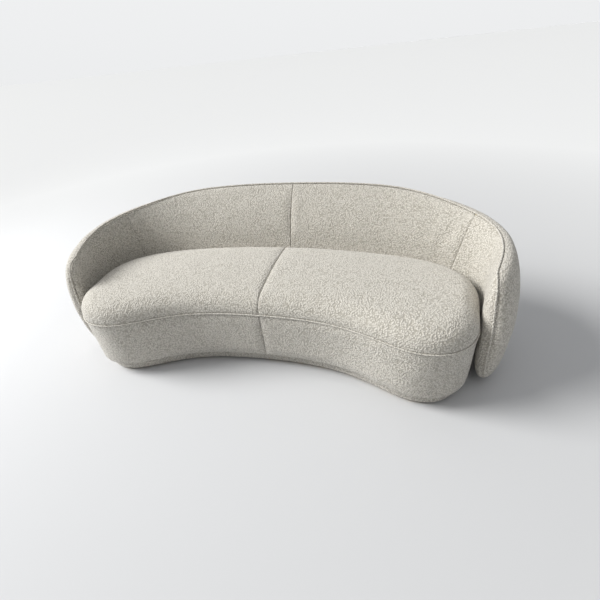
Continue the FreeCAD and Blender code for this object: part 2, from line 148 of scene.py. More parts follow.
def swell(grid, ids=None, heldEnd=True):
    # how far the stuffing pushes a cover out, measured along its normals, at each point of the grid
    rows, columns = grid.shape[:2]
    normals = gridNormals(grid)
    rowSteps = np.linalg.norm(np.diff(grid[:, columns // 2], axis=0), axis=1)
    rowPlaces = np.concatenate([[0], np.cumsum(rowSteps)])
    columnSteps = np.linalg.norm(np.diff(grid[rows // 3], axis=0), axis=1)
    columnPlaces = np.concatenate([[0], np.cumsum(columnSteps)])
    rowPicks = picked(rowPlaces)
    columnPicks = picked(columnPlaces)
    if ids is not None:                                     # keeps the two sides of a folded grid matched
        half = columnPicks[columnPicks <= columns // 2]
        columnPicks = np.unique(np.concatenate([half, columns - 1 - half]))
    coarse = grid[np.ix_(rowPicks, columnPicks)]
    r, c = coarse.shape[:2]
    coarseIds = np.arange(r * c).reshape(r, c)
    if ids is not None:
        coarseIds[-1, c // 2:] = coarseIds[-1, :c - c // 2][::-1]
    pad, used = gridMesh("stuffing", coarse, coarseIds)
    held = pad.vertex_groups.new(name="seams")
    edges = np.zeros((r, c), bool)
    edges[0], edges[:, 0], edges[:, -1] = True, True, True
    if heldEnd:
        edges[-1] = True
    order = {int(u): i for i, u in enumerate(used)}
    held.add([order[int(u)] for u in np.unique(coarseIds[edges]) if int(u) in order], 1.0, "REPLACE")
    cloth = pad.modifiers.new("stuffing", "CLOTH")
    cloth.settings.use_pressure = True
    cloth.settings.uniform_pressure_force = stuffing["pressure"]
    cloth.settings.effector_weights.gravity = 0
    cloth.settings.vertex_group_mass = "seams"
    cloth.settings.quality = 5
    cloth.point_cache.frame_start = 1
    cloth.point_cache.frame_end = stuffing["frames"]
    scene = bpy.context.scene
    for number in range(1, stuffing["frames"] + 1):
        scene.frame_set(number)
    after = pad.evaluated_get(bpy.context.evaluated_depsgraph_get()).data
    moved = np.zeros(len(used) * 3)
    after.vertices.foreach_get("co", moved)
    places = np.zeros((r * c, 3))
    places[used] = moved.reshape(-1, 3) / mm
    out = places[coarseIds] - coarse
    push = np.sum(out * normals[np.ix_(rowPicks, columnPicks)], axis=-1)
    cap = stuffing["cap"]
    print("stuffing swelled a cover by up to %.0f mm before its cap" % push.max())
    push = cap * np.tanh(np.maximum(push, 0) / cap)
    scene.frame_set(1)
    bpy.data.objects.remove(pad)
    fine = onto(push, rowPlaces[rowPicks], rowPlaces)
    return onto(fine.T, columnPlaces[columnPicks], columnPlaces).T


def picked(places):                 # the grid lines that the coarse copy keeps, about one spacing apart
    count = max(int(places[-1] / stuffing["spacing"]), 4)
    picks = [int(np.argmin(np.abs(places - places[-1] * i / count))) for i in range(count + 1)]
    return np.unique(picks)


# Materials.
def addNode(tree, kind, settings=None, links=None):
    made = tree.nodes.new(kind)
    for name, value in (settings or {}).items():
        if isinstance(name, int) or name in made.inputs:
            made.inputs[name].default_value = value
        else:
            setattr(made, name, value)
    for name, source in (links or {}).items():
        tree.links.new(source, made.inputs[name])
    return made


def newMaterial(name, settings):
    material = bpy.data.materials.new(name)
    material.use_nodes = True
    tree = material.node_tree
    tree.nodes.clear()
    shader = addNode(tree, "ShaderNodeBsdfPrincipled", settings)
    addNode(tree, "ShaderNodeOutputMaterial", {}, {"Surface": shader.outputs[0]})
    place = addNode(tree, "ShaderNodeTexCoord").outputs["Object"]
    return material, tree, shader, place


def toned(tree, factor, stops):     # a colour ramp from (place, hex) stops
    ramp = addNode(tree, "ShaderNodeValToRGB", {}, {"Fac": factor})
    bar = ramp.color_ramp.elements
    while len(bar) < len(stops):
        bar.new(0.5)
    for element, (at, colour) in zip(bar, stops):
        element.position = at
        element.color = linear(colour)
    return ramp.outputs["Color"]


boucle = {
    "nub": 7.6,                     # mm between the loops' heads
    "strand": 1.6,                  # mm thickness of the curled yarn
    "mottle": 46.0,                 # mm between lighter and darker patches
    "depth": 3.2,                   # mm from the loops' heads to the ground cloth
    # the hollow colour is painted shade in the loops' hollows and the head colour a painted highlight on
    # their tops; the ground colour is the cloth's own
    "hollowPaintedShade": "#9f9a8f", "ground": "#c1bcb2",
    "headPaintedHighlight": "#e2ded5", "tint": "#c9c5bc",
}


def boucleCloth(name, lift=0.0):
    # looped wool mix boucle: matt, curly and light grey; the loops catch light and the ground is darker, and
    # this light and shade is also painted into the colour: a painted highlight on the loops' heads and
    # painted shade in the hollows between them
    # lift shifts the ramp so more of the cloth takes the lighter head colour: a painted highlight, used for
    # the piping
    material, tree, shader, place = newMaterial(name, {
        "Roughness": 0.96, "IOR": 1.5, "Specular IOR Level": 0.25,
        "Sheen Weight": 0.35, "Sheen Roughness": 0.6})
    bend = addNode(tree, "ShaderNodeTexNoise", {"Scale": 1 / (boucle["nub"] * 1.6 * mm), "Detail": 2.0},
                   {"Vector": place})
    shift = addNode(tree, "ShaderNodeVectorMath", {"operation": "SCALE", "Scale": boucle["nub"] * 0.45 * mm},
                    {0: bend.outputs["Color"]})
    curled = addNode(tree, "ShaderNodeVectorMath", {"operation": "ADD"}, {0: place, 1: shift.outputs[0]})
    loops = addNode(tree, "ShaderNodeTexVoronoi",
                    {"feature": "SMOOTH_F1", "Scale": 1 / (boucle["nub"] * mm), "Smoothness": 0.2},
                    {"Vector": curled.outputs[0]})
    yarn = addNode(tree, "ShaderNodeTexNoise",
                   {"Scale": 1 / (boucle["strand"] * 2 * mm), "Detail": 3.0, "Roughness": 0.6},
                   {"Vector": curled.outputs[0]})
    patches = addNode(tree, "ShaderNodeTexNoise", {"Scale": 1 / (boucle["mottle"] * mm), "Detail": 3.0},
                      {"Vector": place})
    heads = addNode(tree, "ShaderNodeMapRange",
                    {"From Min": 0.1, "From Max": 0.75, "To Min": 1.0, "To Max": 0.0},
                    {"Value": loops.outputs["Distance"]})
    height = addNode(tree, "ShaderNodeMath", {"operation": "MULTIPLY_ADD", 1: 0.35},
                     {0: yarn.outputs["Fac"], 2: heads.outputs[0]})
    # the colour follows the loops' height: painted shade in the hollows, painted highlight on the heads
    base = toned(tree, height.outputs[0], [(0.12 - lift, boucle["hollowPaintedShade"]), (0.55 - lift, boucle["ground"]),
                                           (1.0, boucle["headPaintedHighlight"])])
    warm = addNode(tree, "ShaderNodeMapRange",
                   {"From Min": 0.35, "From Max": 0.7, "To Min": 0.0, "To Max": 0.45},
                   {"Value": patches.outputs["Fac"]})
    colour = addNode(tree, "ShaderNodeMix", {"data_type": "RGBA", 7: linear(boucle["tint"])},
                     {0: warm.outputs[0], 6: base})
    bump = addNode(tree, "ShaderNodeBump", {"Strength": 0.9, "Distance": boucle["depth"] * mm},
                   {"Height": height.outputs[0]})
    tree.links.new(colour.outputs[2], shader.inputs["Base Color"])
    tree.links.new(bump.outputs[0], shader.inputs["Normal"])
    return material


def speckled(name, settings, low, high, grain, depth, stretch=(1, 1, 1), bands=None):
    # a finish of one base colour broken by a fine grain; stretch lengthens the grain, bands adds layers in Z
    material, tree, shader, place = newMaterial(name, settings)
    scaled = addNode(tree, "ShaderNodeMapping", {"Scale": stretch}, {"Vector": place})
    noise = addNode(tree, "ShaderNodeTexNoise", {"Scale": 1 / (grain * mm), "Detail": 4.0},
                    {"Vector": scaled.outputs[0]})
    height = noise.outputs["Fac"]
    if bands:
        layers = addNode(tree, "ShaderNodeTexWave",
                         {"bands_direction": "Z", "Scale": math.pi / (bands * 20 * mm), "Distortion": 0.4},
                         {"Vector": place})
        height = addNode(tree, "ShaderNodeMath", {"operation": "MULTIPLY_ADD", 1: 0.6},
                         {0: layers.outputs["Fac"], 2: noise.outputs["Fac"]}).outputs[0]
    tree.links.new(toned(tree, height, [(0.3, low), (0.75, high)]), shader.inputs["Base Color"])
    bump = addNode(tree, "ShaderNodeBump", {"Strength": 0.6, "Distance": depth * mm}, {"Height": height})
    tree.links.new(bump.outputs[0], shader.inputs["Normal"])
    return material


boucleWoven = boucleCloth("boucle woven light grey")
# the piping cord is the same cloth with its colour ramp shifted lighter by lift: a painted highlight along
# the raised seam and the welt
boucleCordPaintedHighlight = boucleCloth("boucle piping cord painted lighter", 0.25)
finishes = {
    "boucle": boucleWoven,
    # the lighter copy of the cloth, a painted highlight
    "piping": boucleCordPaintedHighlight,
    # cut polyurethane foam: dull cream with open pores
    "foam": speckled("polyurethane foam cut", {"Roughness": 0.95}, "#cdbf93", "#efe6c4", 1.2, 0.5),
    # needled polyester wadding: white, soft and cloudy
    "wadding": speckled("polyester wadding needled", {"Roughness": 1.0, "Sheen Weight": 0.2},
                        "#dcdcd6", "#f4f4f0", 9.0, 2.0),
    # raw birch ply: pale face with thin darker glue lines along its edges
    "plywood": speckled("birch plywood raw", {"Roughness": 0.65, "IOR": 1.5},
                        "#b08d5c", "#dfc79a", 5.0, 0.1, (1, 1, 0.12), bands=1.4),
    # turned beech under oil: warm brown, fine flecks along the grain, a low satin shine
    "beech": speckled("beech turned and oiled", {"Roughness": 0.42, "IOR": 1.5},
                      "#8d5f36", "#c79563", 2.4, 0.08, (1, 1, 0.1)),
    # zinc plated steel: bright bluish grey, faintly clouded by the passivation
    "zinc_steel": speckled("steel zinc plated", {"Metallic": 1.0, "Roughness": 0.34},
                           "#9a9da2", "#c3c7cc", 6.0, 0.02),
    # woven elastic webbing: dark grey with ribs across its width
    "webbing": speckled("elastic webbing woven", {"Roughness": 0.85},
                        "#1f1f21", "#3c3c40", 2.0, 0.4, (1, 0.3, 1)),
    # spun non-woven cloth: black, matt, slightly dimpled
    "dust_cloth": speckled("non-woven cloth spun", {"Roughness": 0.9}, "#101010", "#232323", 1.6, 0.2),
    # pressed wool felt: dark grey-brown and hairy
    "felt": speckled("wool felt pressed", {"Roughness": 1.0, "Sheen Weight": 0.3},
                     "#3c3932", "#57534b", 1.5, 0.4),
}


def finishPiece(piece, slot, nodes):
    piece.data.materials.clear()
    piece.data.materials.append(finishes[slot])
    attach(piece, "root")
    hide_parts(*nodes)


# Seat and plinth, in millimetres.
seat = {
    "plan": [(0, 110), (320, 98), (640, 60), (860, -5), (985, -120), (1030, -270), (1013, -422),
             (986, -562), (886, -670), (737, -689), (588, -634), (439, -572), (220, -529), (0, -519)],
    "low": 65.0, "seam": 345.0, "top": 449.0,
    "crownPlan": 1540.0, "crownMiddle": -205.0, "crown": 1830.0,
    "round": 88.0,                  # rounding of the top edge
    "under": 26.0,                  # rounding under the block
    "flap": 62.0,                   # how far the cloth is turned in under the block
    "spine": 720.0,                 # X where the rows of the top meet in each lobe
    "step": 7.0,                    # spacing of the mesh
    "cord": 3.6,                    # radius of the raised seam
    "free": (0.44, 0.60),           # share of the plan's length where the seat comes out of the shell
    "middleGroove": (4.5, 4.5),     # depth and width of the groove along the middle seam
    "seamGroove": (2.6, 5.0),       # and along the raised seam
}
plinth = {"inset": 34.0, "low": 15.0, "high": 66.0, "edge": 4.0}


def planHalf(points):               # smooth line through the plan's points, rear middle to front middle
    loop = np.array(points + [(-x, y) for x, y in reversed(points) if x > 0], float)
    count = len(loop)
    after = np.linalg.norm(np.roll(loop, -1, 0) - loop, axis=1)
    matrix, right = np.zeros((count, count)), np.zeros((count, 2))
    for i in range(count):
        a, b, following = after[i - 1], after[i], (i + 1) % count
        matrix[i, i - 1], matrix[i, i], matrix[i, following] = b, 2 * (a + b), a
        right[i] = 3 * (b * (loop[i] - loop[i - 1]) / a + a * (loop[following] - loop[i]) / b)
    slope = np.linalg.solve(matrix, right)
    line = []
    for i in range(len(points) - 1):
        t = np.linspace(0, 1, 60, endpoint=False)[:, None]
        line.append((2 * t ** 3 - 3 * t ** 2 + 1) * loop[i] + (t ** 3 - 2 * t ** 2 + t) * after[i] * slope[i]
                    + (3 * t ** 2 - 2 * t ** 3) * loop[i + 1] + (t ** 3 - t ** 2) * after[i] * slope[i + 1])
    line.append(loop[len(points) - 1][None])
    return np.concatenate(line)


planLine = planHalf(seat["plan"])
planLength = np.concatenate([[0], np.cumsum(np.linalg.norm(np.diff(planLine, axis=0), axis=1))])
planTangent = np.gradient(planLine, planLength, axis=0)
planTangent[0], planTangent[-1] = (1, 0), (-1, 0)


def planAt(places):                 # points of the plan and the directions into the seat there
    point = np.stack([np.interp(places, planLength, planLine[:, k]) for k in (0, 1)], axis=-1)
    way = np.stack([np.interp(places, planLength, planTangent[:, k]) for k in (0, 1)], axis=-1)
    way /= np.linalg.norm(way, axis=-1, keepdims=True)
    return point, np.stack([way[..., 1], -way[..., 0]], axis=-1)


def crownAt(plan):                  # height of the crowned top over a point of the plan
    centre = np.array([0, seat["crownMiddle"] - seat["crownPlan"]])
    across = np.linalg.norm(plan - centre, axis=-1) - seat["crownPlan"]
    return seat["top"] - seat["crown"] + np.sqrt(seat["crown"] ** 2 - across ** 2)


def lifted(plan, z):                # plan points and heights as one grid of 3D points
    return np.concatenate([plan, np.broadcast_to(z, plan.shape[:-1])[..., None]], axis=-1)


def wallGrid(places, profile):      # rows of (inset, height) carried round the plan
    point, inward = planAt(places)
    rows = [lifted(point + inward * inset, z) for inset, z in profile]
    return np.array(rows)


def bandProfile(inset):
    low, roll = seat["low"], seat["under"]
    turned = [(seat["flap"] - k * (seat["flap"] - roll) / 4, low - 0.6) for k in range(4)]
    curve = [(roll - roll * math.sin(a), low + roll - roll * math.cos(a))
             for a in np.linspace(0, math.pi / 2, 8)]
    start = low + roll
    wall = [(0, start + z) for z in spaced(seat["seam"] - start, seat["step"])[1:]]
    return [(i + inset, z) for i, z in turned + curve + wall]


def topGrid(places, inset=0.0):     # the top cover's right half, from the seam to the spine
    point, inward = planAt(places)
    r = seat["round"]
    slope = np.arctan((crownAt(point + inward * (r + 20)) - crownAt(point + inward * r)) / 20)
    reach = r - r * np.sin(slope)
    touch = point + inward * reach[:, None]
    centre = crownAt(touch) - r * np.cos(slope)
    rows = []
    for share in np.linspace(0, 1, 4):                       # the straight stretch above the seam
        z = seat["seam"] + (centre - seat["seam"]) * share
        rows.append(lifted(point, z))
    for share in np.linspace(0, 1, 21)[1:]:
        angle = (math.pi / 2 - slope) * share
        rows.append(lifted(point + inward * (r * (1 - np.cos(angle)))[:, None], centre + r * np.sin(angle)))
    x = np.abs(point[:, 0])
    x = (x + x[::-1]) / 2 * seat["spine"] / x.max()
    spineY = seat["crownMiddle"] - seat["crownPlan"] + np.sqrt(seat["crownPlan"] ** 2 - x ** 2)
    spine = np.stack([x, spineY], axis=-1)
    count = int(340 / seat["step"])
    for share in np.linspace(0, 1, count + 1)[1:]:
        plan = touch + (spine - touch) * share
        rows.append(lifted(plan, crownAt(plan)))
    grid = np.array(rows)
    inwards = gridNormals(grid)                              # a seat grid's normals point inwards
    inwards[-3:] = (0, 0, -1)                                # and straight down along the spine
    return grid + inwards * inset


def foldedIds(rows, columns):       # both sides of the top share the points of the spine
    ids = np.arange(rows * columns).reshape(rows, columns)
    ids[-1, columns // 2:] = ids[-1, :columns - columns // 2][::-1]
    return ids


def mirrored(grid, side):           # the right half, or its mirror image for the left
    result = grid.copy()
    result[..., 0] = np.maximum(result[..., 0], 0.4) * side
    return result


def uneven(grid, seamDistance):     # hand-stuffed cloth: soft swells, and small puckers beside the seams
    soft = 1.3 * lump(grid, 120.0) + 0.7 * lump(grid + 500, 45.0)
    pucker = 1.1 * lump(grid + 900, 17.0) * dip(seamDistance, 26.0)
    return (soft * (1 - dip(seamDistance, 18.0)) + pucker)[..., None]


def placed(grid):                   # moves a finished grid to its place in the frame
    return grid + np.array([0, shiftY, 0])


def oddPlaces():                    # an odd count, so that the folded top has one middle column
    places = spaced(planLength[-1], seat["step"])
    if len(places) % 2 == 1:
        return places
    half = len(places) // 2
    return np.concatenate([places[:half - 1], [(places[half - 1] + places[half]) / 2], places[half + 1:]])


seatPlaces = oddPlaces()


def makeSeatCovers():
    pinch = stuffing["pinch"]
    band = wallGrid(seatPlaces, bandProfile(0))
    top = topGrid(seatPlaces)
    ids = foldedIds(*top.shape[:2])
    facing = ease(seatPlaces / planLength[-1], *seat["free"])[None, :]
    bandPush = swell(band[:, ::-1])[:, ::-1] * facing
    topPush = swell(top[:, ::-1], ids, heldEnd=False)[:, ::-1]
    wallHeight = ease(top[..., 2], seat["seam"], seat["seam"] + seat["round"])
    topPush *= np.maximum(facing, wallHeight)
    covers = (("band", band, bandPush, facing, None),
              ("top", top, topPush, np.maximum(facing, wallHeight), ids))
    for side, word in ((-1, "left"), (1, "right")):
        for kind, grid, push, share, gridIds in covers:
            normal = -gridNormals(grid)
            if kind == "top":
                normal[-3:] = (0, 0, 1)                     # the crown is level along the spine
                push[-1] = (push[-1] + push[-1][::-1]) / 2
            half = mirrored(grid, side)
            fromMiddle = grid[..., 0]
            fromSeam = np.abs(grid[..., 2] - seat["seam"])
            if kind == "top":
                fromSeam = np.where(grid[..., 2] > seat["seam"] + 60, farFromSeam, fromSeam)
            seamDistance = np.minimum(fromMiddle, fromSeam)
            out = push - pinch * share - groove(fromMiddle, seat["middleGroove"])
            out = out - groove(fromSeam, seat["seamGroove"])
            move = out[..., None] + uneven(half, seamDistance) * np.maximum(share, 0.2)[..., None]
            shape = grid + normal * move
            piece, _ = gridMesh("seat_%s_cloth_%s" % (kind, word), placed(mirrored(shape, side)), gridIds,
                                flip=side > 0)
            thicken(piece, clothThickness)
            node = "seat_top_cover_" if kind == "top" else "seat_side_band_"
            finishPiece(piece, "boucle", [node + word])
    print("seat covers made")


def makeSeatLayers():
    for name, slot, depth, thickness, nodes in (
            ("seat_side_wadding_wrap", "wadding", 9.0, 5.0, ["seat_side_wadding"]),
            ("seat_side_foam_wrap", "foam", 17.0, 16.0, ["seat_side_foam"])):
        rows = [(i + depth, max(z, seat["low"] + 3)) for i, z in bandProfile(0)][4:]
        halves = wallGrid(seatPlaces, rows)
        grid = np.concatenate([mirrored(halves, 1), mirrored(halves, -1)[:, ::-1]], axis=1)
        piece, _ = gridMesh(name, placed(grid), flip=True)
        thicken(piece, thickness)
        finishPiece(piece, slot, nodes)
    top = topGrid(seatPlaces, 9.0)
    top[..., 0] = np.maximum(top[..., 0], 0)
    ids = foldedIds(*top.shape[:2])
    piece, _ = gridMesh("seat_top_wadding_sheet", placed(top), ids, flip=True)
    mirror = piece.modifiers.new("other half", "MIRROR")
    mirror.use_axis = (True, False, False)
    mirror.merge_threshold = 1.0 * mm
    thicken(piece, 5.0)
    finishPiece(piece, "wadding", ["seat_top_wadding"])
    print("seat layers made")


def cordMesh(name, path, lift, radius, closed):
    # a piping cord: a tube whose covering twists slightly round it
    step = np.gradient(path, axis=0)
    step /= np.linalg.norm(step, axis=1, keepdims=True)
    across = np.cross(step, lift)
    across /= np.linalg.norm(across, axis=1, keepdims=True)
    over = np.cross(across, step)
    length = np.concatenate([[0], np.cumsum(np.linalg.norm(np.diff(path, axis=0), axis=1))])
    count = 10
    rings = []
    for k in range(count + 1):
        angle = 2 * math.pi * (k % count) / count
        size = radius * (1 + 0.09 * np.sin(2 * angle + length * 2 * math.pi / 22.0))
        rings.append(path + (across * math.cos(angle) + over * math.sin(angle)) * size[:, None])
    grid = np.array(rings)
    ids = np.arange(grid.shape[0] * grid.shape[1]).reshape(grid.shape[:2])
    ids[-1] = ids[0]
    if closed:
        ids[:, -1] = ids[:, 0]
    piece, _ = gridMesh(name, placed(grid), ids, flip=True)
    return piece


def makeRaisedSeam():
    places = np.linspace(0, planLength[-1], 820)
    point, inward = planAt(places)
    half = lifted(point + inward * 0.9, seat["seam"] + 1.0)
    outward = lifted(-inward, 0.0)
    left = half[::-1] * np.array([-1, 1, 1])
    path = np.concatenate([half, left[1:]])
    lift = np.concatenate([outward, (outward[::-1] * np.array([-1, 1, 1]))[1:]])
    piece = cordMesh("seat_seam_cord", path, lift, seat["cord"], True)
    finishPiece(piece, "piping", ["seat_raised_seam"])
    print("raised seam made")


def makePlinthCovers():
    inset, low, high, edge = plinth["inset"], plinth["low"], plinth["high"], plinth["edge"]
    profile = [(inset + 14, low + 1), (inset + 9, low), (inset + edge, low), (inset + 1, low + 1.4)]
    profile += [(inset, low + edge + (high - low - edge) * k / 8) for k in range(9)]
    for side, word in ((-1, "left"), (1, "right")):
        grid = wallGrid(seatPlaces, profile)
        half = mirrored(grid, side)
        move = uneven(half, grid[..., 0]) * 0.6 - (2.0 * dip(grid[..., 0], 4.5))[..., None]
        shape = grid - gridNormals(grid) * move
        piece, _ = gridMesh("plinth_cloth_" + word, placed(mirrored(shape, side)), flip=side > 0)
        thicken(piece, clothThickness)
        finishPiece(piece, "boucle", ["plinth_cover_" + word])
    print("plinth covers made")


# Back and arms, in millimetres.
shell = {
    "rear": 167.0, "length": 1606.0,            # the plan path of one half, from the back's middle to the tip
    "backBend": 0.000249, "armBend": 0.000905, "bendRate": 2.5,
    "cornerBend": 0.002842, "cornerAt": 0.703, "cornerWidth": 0.162,
    "low": 17.0, "cut": 32.6, "top": 717.0, "fall": 119.3, "fallPower": 1.526,
    "innerMiddle": 39.0, "innerEnd": 73.0, "outerMiddle": 80.0, "outerEnd": 73.0,
    "power": 2.48, "leanMiddle": 0.422, "leanEnd": -0.145, "leanFrom": 291.0, "leanSpan": 388.0,
    "leanFade": (0.31, 1.0), "endFrom": 0.825, "tallPower": 5.1, "widePower": 3.18,
    "slant": ((1033, 58, 630), (960, -10, 436)), "slantOut": (0.6, 0.8, 0.0),
    "step": 7.5, "welt": 4.3, "weltLow": 118.0,
    "weltIn": 13.0, "weltOut": 14.0,            # degrees round the section between the welt and the ridge
    "ridgeGroove": (3.0, 5.5), "slantGroove": (3.6, 4.5),
}


def walkPath():                     # the path's points and headings, summed from its curvature
    u = np.linspace(0, 1, 1601)
    x = (u - shell["cornerAt"]) / shell["cornerWidth"]
    bend = shell["backBend"] + (shell["armBend"] - shell["backBend"]) / (1 + np.exp(-shell["bendRate"] * x))
    bend += shell["cornerBend"] * np.exp(-x * x)
    step = shell["length"] / 1600
    heading = np.concatenate([[0], np.cumsum((bend[1:] + bend[:-1]) / 2 * step)])
    middle = (heading[1:] + heading[:-1]) / 2
    px = np.concatenate([[0], np.cumsum(np.cos(middle) * step)])
    py = shell["rear"] - np.concatenate([[0], np.cumsum(np.sin(middle) * step)])
    return u, px, py, heading


pathU, pathX, pathY, pathHeading = walkPath()


def ridgeAt(u):
    return shell["top"] - shell["fall"] * (1 - np.cos(math.pi * u ** shell["fallPower"])) / 2


def leanAt(u, z):
    q = ease(u, *shell["leanFade"])
    rise = np.maximum(z - shell["leanFrom"], 0)
    lean = shell["leanMiddle"] + (shell["leanEnd"] - shell["leanMiddle"]) * q
    return lean * rise * np.sqrt(rise / shell["leanSpan"])


def shellPoint(u, v):               # the right half of the shell's surface; v is the angle round its section
    x, y = np.interp(u, pathU, pathX), np.interp(u, pathU, pathY)
    heading = np.interp(u, pathU, pathHeading)
    t = np.clip((u - shell["endFrom"]) / (1 - shell["endFrom"]), 0, 1)
    tall = np.maximum(1 - t ** shell["tallPower"], 0) ** (1 / shell["tallPower"])
    wide = np.maximum(1 - t ** shell["widePower"], 0) ** (1 / shell["widePower"])
    top = ridgeAt(u)
    half, middle = (top - shell["low"]) / 2 * tall, (top + shell["low"]) / 2
    across = np.sign(np.cos(v)) * np.abs(np.cos(v)) ** (2 / shell["power"])
    z = middle + half * np.sign(np.sin(v)) * np.abs(np.sin(v)) ** (2 / shell["power"])
    inner = (shell["innerMiddle"] + (shell["innerEnd"] - shell["innerMiddle"]) * u) * wide
    outer = (shell["outerMiddle"] + (shell["outerEnd"] - shell["outerMiddle"]) * u) * wide
    n = np.where(across > 0, outer, inner) * across + leanAt(u, z)
    z = np.maximum(z, shell["cut"])
    return np.stack([x + np.sin(heading) * n, y + np.cos(heading) * n, z], axis=-1)


def seamedAt(u, v):                 # moves the rows: the welt runs inside the ridge, outside the arm's front
    toBottom = np.abs(v - math.pi / 2) / math.pi
    inwards = math.radians(shell["weltIn"]) * ease(u, 0.38, 0.62) * (1 - ease(u, 0.93, 0.995))
    outwards = math.radians(shell["weltOut"]) * ease(u, 0.90, 0.97)
    return v + inwards * (1 - toBottom) + outwards * toBottom


def evenly(curve, low, high, step):  # parameter values from low to high that step evenly along a curve
    fine = np.linspace(low, high, 4001)
    points = curve(fine)
    length = np.concatenate([[0], np.cumsum(np.linalg.norm(np.diff(points, axis=0), axis=1))])
    return np.interp(spaced(length[-1], step), length, fine)


def endStations(start, step):       # u from start to the arm's tip, evenly along the silhouette of its end
    def silhouette(u):
        t = np.clip((u - shell["endFrom"]) / (1 - shell["endFrom"]), 0, 1)
        tall = np.maximum(1 - t ** shell["tallPower"], 0) ** (1 / shell["tallPower"])
        return np.stack([u * shell["length"], tall * 300], axis=-1)
    fine = np.concatenate([np.linspace(start, 0.995, 3000), 1 - 0.005 * np.linspace(1, 0, 3000) ** 6])
    points = silhouette(fine)
    length = np.concatenate([[0], np.cumsum(np.linalg.norm(np.diff(points, axis=0), axis=1))])
    return np.interp(spaced(length[-1], step), length, fine)


def slantAt(v):                     # u where the slanted seam crosses the row at angle v
    a, b = np.array(shell["slant"][0], float), np.array(shell["slant"][1], float)
    normal = np.cross(a - b, np.array(shell["slantOut"]))
    u = np.linspace(0.45, 0.97, 900)
    side = (shellPoint(u, seamedAt(u, np.full_like(u, v))) - a) @ normal
    change = np.where(np.sign(side[1:]) != np.sign(side[:-1]))[0]
    return u[change[0]] if len(change) else u[-1]


def makeShellCovers():
    pinch = stuffing["pinch"]
    ridge, bottom = math.pi / 2, 3 * math.pi / 2
    section = lambda v: shellPoint(np.full_like(v, 0.3), v)
    innerV = evenly(section, ridge, bottom, shell["step"])
    outerV = evenly(section, ridge, -ridge, shell["step"])
    slantU = np.array([slantAt(v) for v in innerV])
    slantU = np.convolve(np.pad(slantU, 3, mode="edge"), np.ones(7) / 7, "valid")
    slantMean = slantU.mean()
    backShare = spaced(slantMean * shell["length"], shell["step"]) / (slantMean * shell["length"])
    armShare = (endStations(slantMean, shell["step"]) - slantMean) / (1 - slantMean)
    wholeU = endStations(0.0, shell["step"])
    v = innerV[:, None]
    patches = (
        ("back_inner", slantU[:, None] * backShare[None, :], v, "back_inner_cover_"),
        ("arm", slantU[:, None] + (1 - slantU[:, None]) * armShare[None, :], v, "arm_cover_"),
        ("back_outer", np.broadcast_to(wholeU, (len(outerV), len(wholeU))), outerV[:, None],
         "back_outer_cover_"),
    )
    for kind, u, angle, node in patches:
        grid = shellPoint(u, seamedAt(u, np.broadcast_to(angle, u.shape)))
        turn = 1 if kind == "back_outer" else -1                      # normals point out of the shell
        normal = gridNormals(grid) * turn
        free = ease(grid[..., 2], 400.0, 500.0) if kind != "back_outer" else np.ones(u.shape)
        if kind == "arm":
            free = np.maximum(free, ease(u, 0.93, 0.99))
        push = swellShell(grid, turn) * free
        steps = np.linalg.norm(np.diff(grid, axis=0), axis=2)
        fromRidge = np.concatenate([np.zeros((1, u.shape[1])), np.cumsum(steps, axis=0)])
        fromMiddle = grid[..., 0] if kind != "arm" else np.full(u.shape, farFromSeam)
        fromSlant = np.full(u.shape, farFromSeam)
        if kind != "back_outer":
            fromSlant = np.abs(u - slantU[:, None]) * shell["length"]
        fromMiddle = np.where(u > 0.2, farFromSeam, fromMiddle)
        seamDistance = np.minimum(np.minimum(fromRidge, fromMiddle), fromSlant)
        for side, word in ((-1, "left"), (1, "right")):
            middleSeam = 2.6 * dip(fromMiddle, 5.0) if side > 0 else -0.8 * dip(fromMiddle, 7.0)
            out = push - pinch * free - groove(fromRidge, shell["ridgeGroove"]) - middleSeam
            out = out - groove(fromSlant, shell["slantGroove"])
            half = mirrored(grid, side)
            move = out[..., None] + uneven(half, seamDistance) * np.maximum(free, 0.2)[..., None]
            shape = grid + normal * move
            shape[..., 2] = np.maximum(shape[..., 2], shell["cut"] - 0.5)
            piece, _ = gridMesh("%s_cloth_%s" % (kind, word), placed(mirrored(shape, side)),
                                flip=(side < 0) != (turn < 0))
            thicken(piece, clothThickness)
            finishPiece(piece, "boucle", [node + word])
    print("back and arm covers made")
    for name, rows, node in (("back_inner_foam_sheet", innerV, "back_inner_foam"),
                             ("back_outer_foam_sheet", outerV, "back_outer_foam")):
        u = np.linspace(0, 0.985, 150)
        angles = rows[4:-4:2, None]                                   # clear of the welt and the bottom edge
        size = (len(angles), len(u))
        grid = shellPoint(np.broadcast_to(u, size), np.broadcast_to(angles, size))
        turn = 1 if "outer" in name else -1
        shape = grid - gridNormals(grid) * turn * 8.0
        both = np.concatenate([(shape * np.array([-1, 1, 1]))[:, ::-1], shape[:, 1:]], axis=1)
        both[..., 2] = np.maximum(both[..., 2], shell["cut"] + 3)
        piece, _ = gridMesh(name, placed(both), flip=turn < 0)
        thicken(piece, 14.0)
        finishPiece(piece, "foam", [node])
    print("back foam made")


def swellShell(grid, turn):         # the simulation wants its normals pointing out of the shell
    return swell(grid) if turn > 0 else swell(grid[:, ::-1])[:, ::-1]


